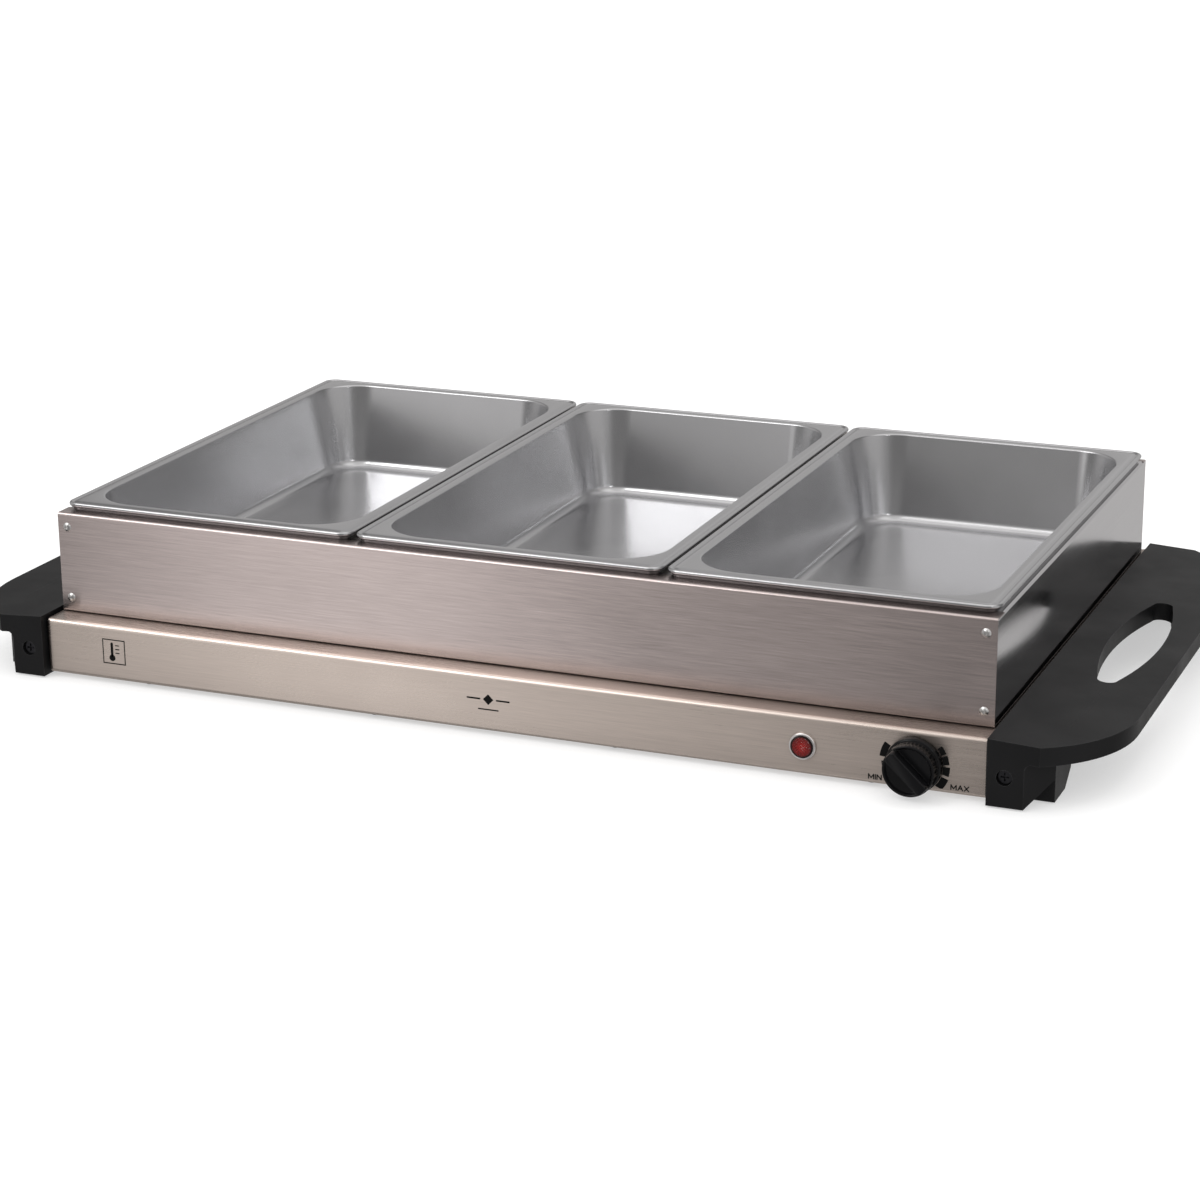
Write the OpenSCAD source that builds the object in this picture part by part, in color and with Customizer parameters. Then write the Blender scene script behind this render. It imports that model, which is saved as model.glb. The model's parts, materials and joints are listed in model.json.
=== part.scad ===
// Electric buffet server: a heated steel base between two moulded handles,
// a lift-off steel frame on top of it, and three lift-out food pans.
// Millimetres. X runs along the length, Y from front to back, Z is up.
// The origin is on the table, under the middle of the base.

/* [Base] */
// Length of the steel base
base_w = 541; // [538:0.5:541]
// Depth of the steel base
base_d = 353.4; // [352:0.2:355]
// Height of the hot surface above the table
base_top = 34; // [34:0.25:36]
// Height of the front and rear fascias
fascia_h = 31.6; // [30:0.2:32]
// Thickness of the steel sheet
sheet = 0.8; // [0.7:0.05:1]
// Outer radius of a fold in the base
fold_r = 2.4; // [1.6:0.2:3]
// Width of the lips folded in under the base
lip_w = 14; // [12:1:16]

/* [Controls] */
// Distance from the middle to the thermostat knob
dial_x = 234; // [230:1:238]
// Distance from the middle to the indicator lamp
lamp_x = 175; // [165:1:190]
// Depth of the knob axis below the hot surface
dial_drop = 17.8; // [17.6:0.1:18]
// Depth of the lamp axis below the hot surface
lamp_drop = 16.2; // [15:0.1:17]
// Outer radius of the knob
knob_r = 15; // [14.5:0.25:15]
// How far the knob stands out of the fascia
knob_out = 17; // [16:0.5:18]
// How far the grip bar rises above the knob's face
grip_h = 4.4; // [3:0.2:5]
// Width of the grip bar
grip_w = 7; // [6.5:0.25:8]
// Angle of the grip bar from upright, anticlockwise from the front
grip_tilt = 47; // [30:1:60]
// Outer radius of the lamp bezel
bezel_r = 7.2; // [6.8:0.1:7.4]
// Radius of the cord's way through the gland
gland_bore_r = 3.6; // [3.2:0.1:4]

/* [Handles] */
// Distance from the middle to the handles' inner faces
handle_in = 272; // [271.5:0.25:273]
// Distance from the middle to the handles' outer edges
handle_out = 333; // [330:1:336]
// Distance from the middle to the front and rear faces of the handles
handle_y = 181.4; // [180.8:0.2:182]
// Height of the handles' inner edges above the hot surface
handle_rise = 2.2; // [1.5:0.1:2.4]
// Angle at which the wings drop outwards
wing_drop = 3.2; // [2:0.1:4]
// Thickness of the wing at its edge
wing_t = 10; // [9:0.5:11]
// Wall thickness of the mouldings
wall = 2.8; // [2.4:0.1:3.2]
// Width of a corner post
post_w = 19; // [18:0.5:20]
// Depth of a corner post, front to back
post_d = 34; // [32:1:36]
// Width of the straight front edge of the wing
wing_flat = 27; // [24:1:30]
// Radius of the wing's corners
wing_r = 84; // [80:1:90]
// Distance from the middle to the hand slot's centre line
slot_x = 305; // [304:1:306]
// Half the greatest width of the hand slot
slot_half_w = 14; // [13:0.5:14]
// Half the straight length of the hand slot
slot_half_l = 67; // [60:1:70]

/* [Frame] */
// Length of the lift-off frame
frame_w = 540; // [538:0.5:540]
// Depth of the frame
frame_d = 328; // [326:1:330]
// Height of the frame
frame_h = 57.5; // [56:0.5:60]
// How far the frame sits back from the middle of the base
frame_back = 3.3; // [2:0.1:4]
// Width of the front top flange
flange_front = 12; // [11.5:0.5:12.5]
// Width of the rear top flange
flange_rear = 6; // [5.5:0.5:6.5]
// Width of the side top flanges
flange_side = 7; // [6:0.5:7]
// Width of a divider rail
rail_w = 12; // [8:1:14]

/* [Pans] */
// Distance between neighbouring pans' centres
pan_pitch = 180; // [179.5:0.1:180.2]
// Outer width of a pan's rim
pan_w = 178; // [176:0.5:178]
// Outer length of a pan's rim
pan_l = 321; // [320:0.5:321]
// How far the pans sit back in the frame
pan_back = 2.5; // [2.2:0.1:2.5]
// Overall depth of a pan
pan_h = 53; // [48:1:56]
// Height of the rim above the frame
pan_rise = 4.4; // [4:0.2:5]
// Width of the rim
pan_rim = 9; // [8.5:0.25:9.5]
// Corner radius of the rim's outer edge
rim_corner = 6; // [5:0.5:9]
// Corner radius of the pan's mouth
mouth_corner = 28; // [26:1:30]
// How far the walls lean in, top to bottom
pan_taper = 8; // [6:0.5:9]
// Thickness of the pan's steel
pan_t = 0.8; // [0.7:0.05:0.9]

/* [Hidden] */
$fn = 64;

// Levels
pad_h = 1;
base_bottom = base_top - fascia_h;
floor_in = base_bottom + sheet;
under_top = base_top - sheet;
frame_top = base_top + frame_h;
rim_top = frame_top + pan_rise;
dial_z = base_top - dial_drop;
lamp_z = base_top - lamp_drop;

// Planes of the base
front_y = -base_d / 2;
end_x = base_w / 2;

// Heater stack under the hot surface
spreader_t = 2;
stack_in = [-232, 200];
stack_half_d = 150;
tube_r = 3.2;
tube_gap = 0.05;
tube_z = under_top - spreader_t - tube_gap - tube_r;
run_pitch = 60;
run_end = 185;
run_turn = -190;
clamp_t = 0.8;
pad_t = 4;
pad_top = tube_z - tube_r - clamp_t - 0.2;
shield_top = pad_top - pad_t;
stud_xy = [for (x = [-212, -16, 180], y = [-135, 135]) [x, y]];
stud_r = 2;
nut_h = 3.2;
nut_af = 7;

// Right-hand wiring bay
gland_x = 235;
gland_z = 17;
gland_out = knob_out;
block_xy = [235, 118];
earth_xy = [255, 150];
wire_r = 1.2;

// Screws and rivets
cover_screw_x = [-210, -70, 70, 210];
cover_screw_y = base_d / 2 - 7.5;
handle_screw_x = 281;
handle_screw_z = base_top - 17.4;
bracket_t = 1.4;
ear_y = handle_y - 8.5;
rivet_x = frame_w / 2 - 5.7;
rivet_low = base_top + 8.4;
rivet_high = base_top + 49.5;
rivet_r = 1.55;

// ---------------------------------------------------------------- helpers

// A rectangle with round corners, given by half sizes
module round_rect(hx, hy, r) {
    square([2 * hx, 2 * (hy - r)], center = true);
    square([2 * (hx - r), 2 * hy], center = true);
    for (x = [-1, 1], y = [-1, 1])
        translate([x * (hx - r), y * (hy - r)]) circle(r);
}

// A rectangle with round corners between two opposite corners
module round_box(low, high, r) {
    translate((low + high) / 2) round_rect((high[0] - low[0]) / 2, (high[1] - low[1]) / 2, r);
}

// Extrudes a Y-Z section along X, centred
module along_x(length) {
    rotate([90, 0, 90]) linear_extrude(length, center = true) children();
}

// Extrudes an X-Z section along Y, centred
module along_y(length) {
    rotate([90, 0, 0]) linear_extrude(length, center = true) children();
}

// Turns a part drawn along +Z so that it points out of the front fascia
module out_of_front(x, z) {
    translate([x, front_y, z]) rotate([90, 0, 0]) children();
}

// A section swept round a rounded rectangle; the section's x is the
// distance from the corner centres, which lie at (cx, cy)
module sweep_round(cx, cy) {
    for (q = [0 : 3]) {
        turn = 90 * q;
        side = q % 2 == 0 ? cx : cy;
        run = q % 2 == 0 ? cy : cx;
        rotate(turn) translate([side, run, 0]) rotate_extrude(angle = 90) children();
        rotate(turn) translate([side, 0, 0]) along_y(2 * run) children();
    }
}

// Points of an arc in steps, from one angle to another
function arc(centre, r, from, to, steps) = [
    for (i = [0 : steps])
        let (a = from + (to - from) * i / steps)
        centre + r * [cos(a), sin(a)]
];

// A hexagon nut with its bore, standing on z = 0
module hex_nut(af, h, bore_r) {
    difference() {
        cylinder(r = af / 2 / cos(30), h = h, $fn = 6);
        translate([0, 0, -1]) cylinder(r = bore_r, h = h + 2);
    }
}

// A run of wire with rounded elbows
module wire(points, r) {
    for (i = [0 : len(points) - 2]) {
        step = points[i + 1] - points[i];
        length = norm(step);
        translate(points[i])
            rotate([0, acos(step[2] / length), atan2(step[1], step[0])])
                cylinder(r = r, h = length, $fn = 24);
    }
    if (len(points) > 2)
        for (i = [1 : len(points) - 2])
            translate(points[i]) sphere(r * 1.04, $fn = 24);
}

// Puts a copy at the front and its mirror image at the back
module front_and_rear() {
    children();
    mirror([0, 1, 0]) children();
}

// ------------------------------------------------------------------- base

module base_section() {
    half = base_d / 2;
    difference() {
        round_box([-half, base_bottom], [half, base_top], fold_r);
        round_box([-half + sheet, floor_in], [half - sheet, under_top], fold_r - sheet);
        translate([-half + lip_w, base_bottom - 1])
            square([base_d - 2 * lip_w, fold_r + 2]);
    }
}

module base_shell() {
    color("silver") difference() {
        union() {
            along_x(base_w) base_section();
            for (s = [-1, 1])
                translate([s * (end_x - sheet / 2), 0, (base_top + floor_in + 2.6) / 2])
                    cube([sheet, base_d - 3, under_top - floor_in - 1.6], center = true);
        }
        out_of_front(dial_x, dial_z) cylinder(r = 4.8, h = 6, center = true);
        out_of_front(lamp_x, lamp_z) cylinder(r = 6.1, h = 6, center = true);
        translate([gland_x, -front_y, gland_z]) rotate([90, 0, 0])
            cylinder(r = 6.2, h = 6, center = true);
        for (x = cover_screw_x, s = [-1, 1])
            translate([x, s * cover_screw_y, base_bottom - 1]) cylinder(r = 1.7, h = 3);
        bracket_rivet_holes();
    }
}

// Holes for the rivets that hold the handle brackets to the end flanges
module bracket_rivet_holes() {
    for (s = [-1, 1], y = [-1, 1], z = [11, 22])
        translate([s * end_x, y * (ear_y - 13), z]) rotate([0, 90, 0])
            cylinder(r = 1.6, h = 8, center = true);
}

module bottom_cover() {
    color("gainsboro") difference() {
        union() {
            translate([-end_x + 3, front_y + 2, floor_in]) cube([base_w - 6, base_d - 4, sheet]);
            for (s = [-1, 1])
                translate([s * (end_x - 3.5), 0, floor_in + 4])
                    cube([sheet, base_d - 60, 8], center = true);
        }
        for (x = cover_screw_x, s = [-1, 1])
            translate([x, s * cover_screw_y, floor_in - 1]) cylinder(r = 1.3, h = 3);
        for (group = [-120, 0, 120], row = [-2 : 2])
            translate([group, row * 12, floor_in - 1]) linear_extrude(3) {
                square([56, 3], center = true);
                for (s = [-1, 1]) translate([s * 28, 0]) circle(1.5);
            }
    }
}

module cover_screws() {
    color("dimgray") for (x = cover_screw_x, s = [-1, 1])
        translate([x, s * cover_screw_y, base_bottom]) {
            difference() {
                translate([0, 0, -1.2]) cylinder(r = 3, h = 1.2);
                translate([0, 0, -1.3]) cube([3.4, 0.7, 1], center = true);
                translate([0, 0, -1.3]) cube([0.7, 3.4, 1], center = true);
            }
            cylinder(r = 1.25, h = 6);
        }
}

// ----------------------------------------------------------------- heater

module stack_plate(top, t, inset, hole_r) {
    difference() {
        translate([stack_in[0] + inset, -stack_half_d + inset, top - t])
            cube([stack_in[1] - stack_in[0] - 2 * inset, 2 * (stack_half_d - inset), t]);
        for (p = stud_xy) translate([p[0], p[1], top - t - 1]) cylinder(r = hole_r, h = t + 2);
    }
}

module heat_spreader() {
    color("lightgray") stack_plate(under_top, spreader_t, 0, stud_r + 0.3);
}

module insulation_pad() {
    color("white") stack_plate(pad_top, pad_t, 3, stud_r + 0.5);
}

module heat_shield() {
    color("silver") difference() {
        union() {
            stack_plate(shield_top, sheet, 0, stud_r + 0.3);
            for (s = [-1, 1])
                translate([stack_in[0], s * (stack_half_d - sheet / 2) - sheet / 2, shield_top - 6])
                    cube([stack_in[1] - stack_in[0], sheet, 6]);
        }
    }
}

module weld_studs() {
    color("silver") for (p = stud_xy)
        translate([p[0], p[1], shield_top - sheet - nut_h - 1.5])
            cylinder(r = stud_r, h = under_top - shield_top + sheet + nut_h + 1.5);
}

module stud_nuts() {
    color("silver") for (p = stud_xy)
        translate([p[0], p[1], shield_top - sheet - nut_h]) hex_nut(nut_af, nut_h, stud_r + 0.02);
}

module heating_element() {
    color("dimgray") translate([0, 0, tube_z]) {
        for (i = [0 : 3]) {
            first = i == 0 || i == 3 ? run_end : run_end - run_pitch / 2;
            translate([run_turn + run_pitch / 2, (i - 1.5) * run_pitch, 0]) rotate([0, 90, 0])
                cylinder(r = tube_r, h = first - run_turn - run_pitch / 2);
        }
        for (s = [-1, 1]) translate([run_turn + run_pitch / 2, s * run_pitch, 0])
            rotate(90) rotate_extrude(angle = 180) translate([run_pitch / 2, 0]) circle(tube_r);
        translate([run_end - run_pitch / 2, 0, 0])
            rotate(-90) rotate_extrude(angle = 180) translate([run_pitch / 2, 0]) circle(tube_r);
    }
}

module element_terminals() {
    color("ivory") for (s = [-1, 1])
        translate([run_end, s * 1.5 * run_pitch, tube_z]) rotate([0, 90, 0]) {
            cylinder(r = tube_r - 0.1, h = 12);
            cylinder(r = 1.5, h = 26);
        }
}

// A strap that holds one run of the tube up against the spreader
module tube_strap() {
    foot = tube_r + clamp_t;
    top = under_top - spreader_t - tube_z;
    rotate([90, 0, 90]) linear_extrude(12, center = true) difference() {
        union() {
            translate([-foot - 7, top - clamp_t]) square([2 * foot + 14, clamp_t]);
            translate([-foot, 0]) square([2 * foot, top]);
            circle(foot);
        }
        circle(tube_r + 0.04);
        translate([-tube_r - 0.04, 0]) square([2 * tube_r + 0.08, top + 1]);
    }
}

module element_clamps() {
    color("silver") for (x = [-110, 100], i = [0 : 3])
        translate([x, (i - 1.5) * run_pitch, tube_z]) tube_strap();
}

// -------------------------------------------------------- control and lamp

module thermostat_bracket() {
    color("silver") difference() {
        translate([dial_x - 14, front_y + sheet, dial_z - 11]) cube([28, 1.2, 24]);
        out_of_front(dial_x, dial_z) cylinder(r = 4.8, h = 10, center = true);
    }
}

module thermostat_body() {
    color("ivory") difference() {
        union() {
            out_of_front(dial_x, dial_z) translate([0, 0, -sheet - 1.2])
                cylinder(r = 4.5, h = sheet + 1.2 + 3.4);
            out_of_front(dial_x, dial_z) translate([0, 0, -19]) cylinder(r = 9, h = 19 - sheet - 1.2);
            translate([dial_x - 11, front_y + 19, dial_z - 10]) cube([22, 10, 21]);
            for (s = [-1, 1])
                translate([dial_x + s * 7 - 3, front_y + 29, dial_z - 6]) cube([6, 9, 0.8]);
        }
        out_of_front(dial_x, dial_z) translate([0, 0, -22]) cylinder(r = 3.05, h = 40);
    }
}

module thermostat_blade() {
    color("goldenrod") translate([dial_x - 3.5, front_y + 29, dial_z + 3]) {
        cube([7, 26, 0.8]);
        translate([3.5, 22, -2]) cylinder(r = 2, h = 2);
    }
}

module thermostat_nut() {
    color("silver") out_of_front(dial_x, dial_z) hex_nut(12, 2, 4.52);
}

module lamp_bezel() {
    color("gainsboro") out_of_front(lamp_x, lamp_z) rotate_extrude() {
        difference() {
            union() {
                translate([0, -16]) square([5.9, 17]);
                square([bezel_r - 0.8, 1.6]);
                square([bezel_r, 0.8]);
                translate([bezel_r - 0.8, 0.8]) circle(0.8);
            }
            translate([-1, -13]) square([6.3, 16]);
            translate([-1, -17]) square([3, 6]);
            translate([-9, -20]) square([9, 40]);
        }
    }
}

module lamp_lens() {
    color("red") out_of_front(lamp_x, lamp_z) rotate_extrude() {
        difference() {
            union() {
                translate([0, -5]) square([5.2, 6.4]);
                intersection() {
                    translate([0, 1.4]) square([5.2, 3]);
                    translate([0, -7.1]) circle(10);
                }
            }
            translate([-1, -6]) square([5.2, 5.4]);
            translate([-20, -20]) square([20, 40]);
        }
    }
}

module lamp_bulb() {
    color("orange") out_of_front(lamp_x, lamp_z) {
        translate([0, 0, -11]) cylinder(r = 2.6, h = 7.6);
        translate([0, 0, -3.4]) sphere(2.6);
    }
}

module lamp_clip() {
    color("silver") out_of_front(lamp_x, lamp_z) translate([0, 0, -sheet - 0.8]) difference() {
        cylinder(r = 8.4, h = 0.8);
        translate([0, 0, -1]) cylinder(r = 5.92, h = 3);
    }
}

module lamp_leads() {
    color("white") {
        wire([[lamp_x + 1.4, front_y + 16.2, lamp_z], [lamp_x + 2, front_y + 23, 12.5],
              [dial_x - 18, front_y + 30, 11], [dial_x - 10, front_y + 34, dial_z - 7.2]], 1);
        wire([[lamp_x - 1.4, front_y + 16.2, lamp_z], [lamp_x - 1.4, front_y + 24, 12],
              [dial_x - 16, front_y + 60, 10],
              [block_xy[0] - 4, block_xy[1] - 12.9, 13]], 1);
    }
}

// ----------------------------------------------------------------- wiring

module thermal_fuse() {
    color("white") translate([dial_x + 8, -118, 13]) rotate([-90, 0, 0]) {
        cylinder(r = 3, h = 22);
        for (z = [-5, 22]) translate([0, 0, z]) cylinder(r = 1, h = 5);
    }
}

module wire_live() {
    color("saddlebrown") wire([[block_xy[0] - 8, block_xy[1] - 12.4, 9],
        [block_xy[0] - 8, 60, 8], [dial_x - 7, -100, 8],
        [dial_x - 7, front_y + 39, dial_z - 5.6]], wire_r);
}

module wire_switched() {
    color("darkred") {
        wire([[dial_x + 7, front_y + 39, dial_z - 5.6], [dial_x + 8, -123.2, 13]], wire_r);
        wire([[dial_x + 8, -90.8, 13], [dial_x + 8, -84, 13],
              [run_end + 30, -84, 20], [run_end + 27.4, -90, tube_z]], wire_r);
    }
}

module wire_neutral() {
    color("royalblue") wire([[block_xy[0], block_xy[1] - 12.4, 9],
        [block_xy[0], 96, 14], [run_end + 32, 90, 20],
        [run_end + 27.4, 90, tube_z]], wire_r);
}

module wire_earth() {
    color("limegreen") wire([[block_xy[0] + 8, block_xy[1] - 12.4, 9],
        [block_xy[0] + 8, 96, 9], [earth_xy[0], 104, 9], [earth_xy[0], earth_xy[1] - 2.4, 9]], wire_r);
}

module earth_stud() {
    color("goldenrod") translate([earth_xy[0], earth_xy[1], floor_in + sheet])
        cylinder(r = 2, h = 12);
}

module earth_nut() {
    color("goldenrod") translate([earth_xy[0], earth_xy[1], floor_in + sheet + 6.4])
        hex_nut(nut_af, nut_h, 2.02);
}

module terminal_block() {
    color("whitesmoke") difference() {
        translate([block_xy[0] - 13, block_xy[1] - 12, floor_in + sheet]) cube([26, 24, 11]);
        for (i = [-1 : 1]) {
            translate([block_xy[0] + 8 * i, block_xy[1], 9]) rotate([90, 0, 0])
                cylinder(r = 2.2, h = 30, center = true);
            for (s = [-1, 1])
                translate([block_xy[0] + 8 * i, block_xy[1] + s * 6, 9]) cylinder(r = 2.1, h = 10);
        }
    }
}

module terminal_screws() {
    color("goldenrod") for (i = [-1 : 1], s = [-1, 1])
        translate([block_xy[0] + 8 * i, block_xy[1] + s * 6, 11.4]) difference() {
            cylinder(r = 1.9, h = 3.2);
            translate([0, 0, 3]) cube([4, 0.6, 1.4], center = true);
        }
}

module cord_gland() {
    color("dimgray") translate([gland_x, -front_y, gland_z]) rotate([-90, 0, 0]) difference() {
        union() {
            translate([0, 0, -12]) cylinder(r = 6, h = 13);
            cylinder(r = 15 / 2 / cos(30), h = 5, $fn = 6);
            rotate_extrude() {
                translate([0, 5]) square([7.2, gland_out - 8]);
                translate([0, 5]) square([4.8, gland_out - 5]);
                intersection() {
                    translate([4.8, gland_out - 3]) circle(2.4);
                    translate([0, gland_out - 3]) square([8, 3]);
                }
            }
        }
        translate([0, 0, -20]) cylinder(r = gland_bore_r, h = 60);
    }
}

module gland_locknut() {
    color("dimgray") translate([gland_x, -front_y - sheet - 4, gland_z]) rotate([-90, 0, 0])
        hex_nut(15, 4, 6.02);
}

// ---------------------------------------------------------------- handles

// Plan of the right-hand wing, drawn smaller by inset
module wing_plan(inset) {
    centre_x = handle_out - wing_r;
    centre_y = handle_y - sqrt(pow(wing_r, 2) - pow(handle_in + wing_flat - centre_x, 2));
    intersection() {
        translate([handle_in + inset, -handle_y + inset])
            square([handle_out - handle_in - 2 * inset, 2 * (handle_y - inset)]);
        union() {
            translate([handle_in, -centre_y]) square([handle_out - handle_in, 2 * centre_y]);
            for (s = [-1, 1]) translate([centre_x, s * centre_y]) circle(wing_r - inset, $fn = 180);
        }
    }
}

// Plan of the hand slot, drawn larger by grow
module slot_plan(grow) {
    end_half = 5.4;
    bulge = slot_half_w - end_half;
    r = (pow(slot_half_l, 2) / bulge + bulge) / 2;
    translate([slot_x, 0]) {
        intersection() {
            square([60, 2 * slot_half_l], center = true);
            translate([slot_half_w - r, 0]) circle(r + grow, $fn = 360);
            translate([r - slot_half_w, 0]) circle(r + grow, $fn = 360);
        }
        for (s = [-1, 1]) translate([0, s * slot_half_l]) circle(end_half + grow);
    }
}

// The front corner of the right-hand handle: post, outboard foot and gusset
module corner_post() {
    post_out = handle_in + post_w;
    foot_out = post_out + 12;
    foot_y = -handle_y + 16;
    foot_back = foot_y + 32;
    top = base_top + handle_rise - wing_t + 0.5;
    fillet_z = base_top + handle_rise - wing_t - post_w * sin(wing_drop);
    translate([handle_in, -handle_y, pad_h]) cube([post_w, post_d, top - pad_h]);
    translate([post_out - 0.5, 0, 0]) rotate([90, 0, 90]) linear_extrude(foot_out - post_out + 0.5)
        polygon([[foot_y, pad_h], [foot_y + 21, pad_h], [foot_back, 9], [foot_back, top - 0.6], [foot_y, top - 0.6]]);
    difference() {
        linear_extrude(top - 0.6) polygon([[post_out - 0.5, -handle_y], [post_out, -handle_y],
            [foot_out, foot_y], [foot_out, foot_y + 0.5], [post_out - 0.5, foot_y + 0.5]]);
        translate([post_out, foot_y, pad_h]) rotate([90, 0, 0]) linear_extrude(60, center = true)
            polygon([[-1, -2], [20, -2], [20, 20.7], [0, 0], [-1, 0]]);
    }
    // fillet between the post and the wing's underside
    translate([post_out, -handle_y + 4, fillet_z]) rotate([90, 0, 0]) linear_extrude(8, center = true)
        difference() {
            translate([-0.5, -4]) square([4.5, 4.2]);
            translate([4, -4]) circle(4);
        }
}

// Tilts a wing drawn level, about its inner top edge
module wing_tilt() {
    top = base_top + handle_rise;
    translate([handle_in, 0, top]) rotate([0, wing_drop, 0])
        translate([-handle_in, 0, -wing_t]) children();
}

module handle_right_shape() {
    top = base_top + handle_rise;
    difference() {
        union() {
            wing_tilt() linear_extrude(wing_t) difference() {
                wing_plan(0);
                slot_plan(0);
            }
            front_and_rear() corner_post();
            // side wall between the posts
            translate([handle_in, -handle_y + 1, base_bottom])
                cube([wall, 2 * handle_y - 2, top - base_bottom - 2]);
        }
        // level inner face
        translate([handle_in - 10, -handle_y - 5, 0]) cube([10, 2 * handle_y + 10, base_top + 10]);
        // hollow under the wing, round the slot's own wall and the ribs
        wing_tilt() translate([0, 0, -1]) linear_extrude(wing_t - wall + 1) difference() {
            intersection() {
                wing_plan(wall);
                translate([handle_in + wall + 0.6, -handle_y + post_d])
                    square([80, 2 * (handle_y - post_d)]);
            }
            slot_plan(wall);
            for (y = [-120, -84, 84, 120]) translate([300, y]) square([80, 2], center = true);
            translate([handle_in, -1]) square([slot_x - slot_half_w - handle_in, 2]);
            translate([slot_x + slot_half_w, -1]) square([40, 2]);
        }
        front_and_rear() {
            // bracket pocket
            translate([handle_in - 1, -ear_y - 0.4, 6.6]) cube([post_w - 1, bracket_t + 0.8, 20]);
            // screw hole and counterbore
            translate([handle_screw_x, -handle_y, handle_screw_z]) rotate([-90, 0, 0]) {
                translate([0, 0, -1]) cylinder(r = 4.1, h = 5);
                cylinder(r = 2.2, h = 20);
            }
            // seat for the rubber foot
            translate([handle_in + 3, -handle_y + 3, pad_h - 1]) cube([post_w - 6, 22, 2]);
        }
    }
}

module right_handle() {
    color([0.08, 0.08, 0.08]) handle_right_shape();
}

module left_handle() {
    color([0.08, 0.08, 0.08]) mirror([1, 0, 0]) handle_right_shape();
}

// Steel angles that carry the right-hand handle
module brackets_shape() {
    front_and_rear() difference() {
        union() {
            translate([end_x, -ear_y, 7]) cube([bracket_t, 20, 19]);
            translate([end_x, -ear_y, 7]) cube([post_w - 3, bracket_t, 19]);
        }
        translate([handle_screw_x, -ear_y, handle_screw_z]) rotate([90, 0, 0])
            cylinder(r = 2.02, h = 8, center = true);
        for (z = [11, 22]) translate([end_x, -ear_y + 13, z]) rotate([0, 90, 0])
            cylinder(r = 1.6, h = 8, center = true);
    }
}

module right_brackets() {
    color("silver") brackets_shape();
}

module left_brackets() {
    color("silver") mirror([1, 0, 0]) brackets_shape();
}

module bracket_rivets() {
    color("silver") for (s = [-1, 1], y = [-1, 1], z = [11, 22])
        mirror([s < 0 ? 1 : 0, 0, 0])
        translate([end_x - sheet, y * (ear_y - 13), z]) rotate([0, 90, 0]) {
            translate([0, 0, -1.2]) cylinder(r = 2.8, h = 1.2);
            cylinder(r = 1.55, h = sheet + bracket_t);
        }
}

module handle_screws_shape() {
    front_and_rear() translate([handle_screw_x, -handle_y, handle_screw_z]) rotate([-90, 0, 0]) {
        difference() {
            translate([0, 0, 1.8]) cylinder(r = 3.6, h = 2.2);
            translate([0, 0, 2]) cube([4.4, 0.9, 1.6], center = true);
            translate([0, 0, 2]) cube([0.9, 4.4, 1.6], center = true);
        }
        translate([0, 0, 4]) cylinder(r = 2, h = 12);
    }
}

module right_handle_screws() {
    color("dimgray") handle_screws_shape();
}

module left_handle_screws() {
    color("dimgray") mirror([1, 0, 0]) handle_screws_shape();
}

module feet_shape() {
    front_and_rear() translate([handle_in + 3.1, -handle_y + 3.1, 0])
        cube([post_w - 6.2, 21.8, pad_h + 0.95]);
}

module right_feet() {
    color([0.15, 0.15, 0.15]) feet_shape();
}

module left_feet() {
    color([0.15, 0.15, 0.15]) mirror([1, 0, 0]) feet_shape();
}

// ------------------------------------------------------------------ frame

// Moves a part drawn about the frame's own middle to its place on the base
module set_back() {
    translate([0, frame_back, 0]) children();
}

// Channel section of a frame side: the wall's outer face is at x = 0 and
// the flanges point towards +x
module channel_section(top_flange, bottom_flange) {
    r = 1.6;
    difference() {
        round_box([0, base_top], [40, frame_top], r);
        round_box([sheet, base_top + sheet], [39, frame_top - sheet], r - sheet);
        translate([top_flange, frame_top - 20]) square([60, 30]);
        translate([bottom_flange, base_top - 10]) square([60, 40]);
        translate([38, 0]) square([10, frame_top]);
    }
}

// A long side of the frame, drawn at the front
module frame_side_shape(flange) {
    translate([0, -frame_d / 2, 0]) difference() {
        along_x(frame_w) channel_section(flange, 10);
        for (s = [-1, 1]) {
            translate([s * frame_w / 2, 6.1 + sheet, base_top - 1]) cube([2.4, 12, 6], center = true);
            for (z = [rivet_low, rivet_high])
                translate([s * rivet_x, 0, z]) rotate([90, 0, 0]) cylinder(r = 1.6, h = 8, center = true);
        }
    }
}

module frame_front() {
    color("silver") set_back() frame_side_shape(flange_front);
}

module frame_rear() {
    color("silver") set_back() mirror([0, 1, 0]) frame_side_shape(flange_rear);
}

module frame_right_shape() {
    wall_half = frame_d / 2 - sheet;
    difference() {
        union() {
            translate([frame_w / 2, 0, 0]) mirror([1, 0, 0])
                along_y(2 * wall_half) channel_section(flange_side, 10);
            front_and_rear() translate([frame_w / 2 - 15, -wall_half, base_top + 4])
                cube([14.5, sheet, frame_h - 8]);
        }
        // room for the long sides' top flanges
        translate([frame_w / 2 - 30, -frame_d / 2, frame_top - sheet]) cube([40, flange_front, 3]);
        translate([frame_w / 2 - 30, frame_d / 2 - flange_rear, frame_top - sheet])
            cube([40, flange_rear, 3]);
        front_and_rear() {
            translate([frame_w / 2 - 30, -wall_half - 1, base_top - 1])
                cube([30 - sheet, 12, sheet + 1]);
            translate([frame_w / 2 - 1.2, -wall_half - 1, base_top - 1])
                cube([3, 1 + 9.2, sheet + 1]);
            for (z = [rivet_low, rivet_high])
                translate([rivet_x, -wall_half, z]) rotate([90, 0, 0])
                    cylinder(r = 1.6, h = 8, center = true);
        }
    }
}

module frame_right() {
    color("silver") set_back() frame_right_shape();
}

module frame_left() {
    color("silver") set_back() mirror([1, 0, 0]) frame_right_shape();
}

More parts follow.
